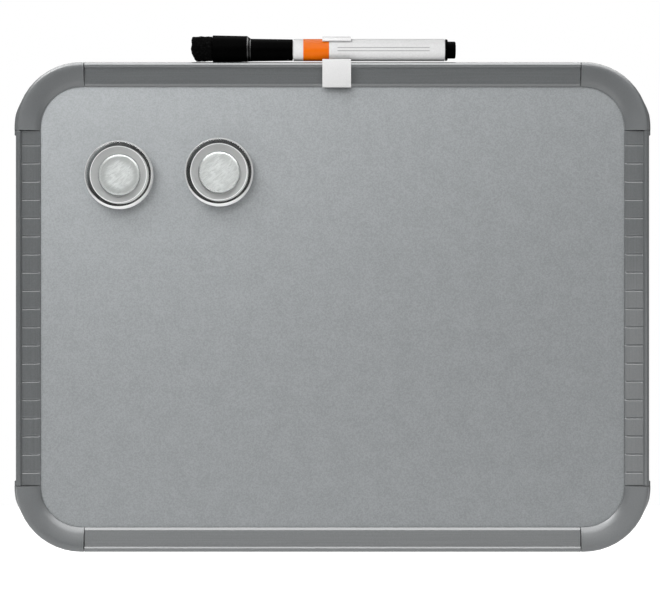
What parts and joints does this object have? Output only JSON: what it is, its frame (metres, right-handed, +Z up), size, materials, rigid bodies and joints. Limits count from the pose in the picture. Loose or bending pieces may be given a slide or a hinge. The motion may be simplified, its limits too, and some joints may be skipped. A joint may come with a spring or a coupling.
{
  "type": "whiteboard",
  "caption": "Small framed magnetic whiteboard for a wall, with round-cornered frame, pen clip, capped dry-wipe marker with eraser, and round glass magnets.",
  "frame": {"origin": "middle of the wall plane, where the rear faces of the foam pads lie, behind the middle of the frame", "axes": "+X to the board's right as seen from the front, +Y into the wall, +Z up; the writing side faces -Y"},
  "size_m": [0.2806, 0.0158, 0.2283],
  "materials": {
    "silver_enamel": "fine-grained silver-grey dry-wipe enamel on steel sheet",
    "fibreboard": "pressed fibreboard core",
    "grey_card": "plain grey backing card",
    "grey_paint": "satin dark grey frame profile",
    "cap_plastic": "satin grey moulded plastic",
    "white_foam": "white closed-cell foam tape",
    "white_plastic": "white moulded plastic",
    "white_barrel": "white glossy barrel with a plain orange band",
    "black_plastic": "black moulded plastic",
    "black_felt": "worn black eraser felt",
    "ink_fibre": "ink-soaked fibre",
    "clear_glass": "clear polished glass",
    "spun_foil": "circularly brushed foil",
    "ferrite": "dark pressed ferrite magnet"
  },
  "bodies": {
    "board": {"writing_sheet": "silver_enamel", "core_board": "fibreboard", "back_sheet": "grey_card", "top_rail": "grey_paint", "bottom_rail": "grey_paint", "left_rail": "grey_paint", "right_rail": "grey_paint", "top_left_cap": "cap_plastic", "top_right_cap": "cap_plastic", "bottom_left_cap": "cap_plastic", "bottom_right_cap": "cap_plastic", "top_left_pad": "white_foam", "top_right_pad": "white_foam", "bottom_left_pad": "white_foam", "bottom_right_pad": "white_foam"},
    "clip": {"pen_clip": "white_plastic"},
    "marker": {"marker_barrel": "white_barrel", "nib_holder": "white_plastic", "end_plug": "black_plastic", "ink_reservoir": "ink_fibre", "marker_nib": "ink_fibre"},
    "cap": {"marker_cap": "black_plastic", "eraser_felt": "black_felt"},
    "magnet_a": {"magnet_a_glass": "clear_glass", "magnet_a_foil": "spun_foil", "magnet_a_disc": "ferrite"},
    "magnet_b": {"magnet_b_glass": "clear_glass", "magnet_b_foil": "spun_foil", "magnet_b_disc": "ferrite"}
  },
  "joints": [
    {"name": "clip_slide", "type": "slide", "parent": "board", "child": "clip", "axis": [1, 0, 0], "range_m": [-0.104, 0.1]},
    {"name": "marker_slide", "type": "slide", "parent": "clip", "child": "marker", "axis": [1, 0, 0], "range_m": [-0.06, 0.03]},
    {"name": "cap_pull", "type": "slide", "parent": "marker", "child": "cap", "axis": [-1, 0, 0], "range_m": [0, 0.022]},
    {"name": "magnet_a_lift", "type": "slide", "parent": "board", "child": "magnet_a", "axis": [0, -1, 0], "range_m": [0, 0.03]},
    {"name": "magnet_b_lift", "type": "slide", "parent": "board", "child": "magnet_b", "axis": [0, -1, 0], "range_m": [0, 0.03]}
  ]
}
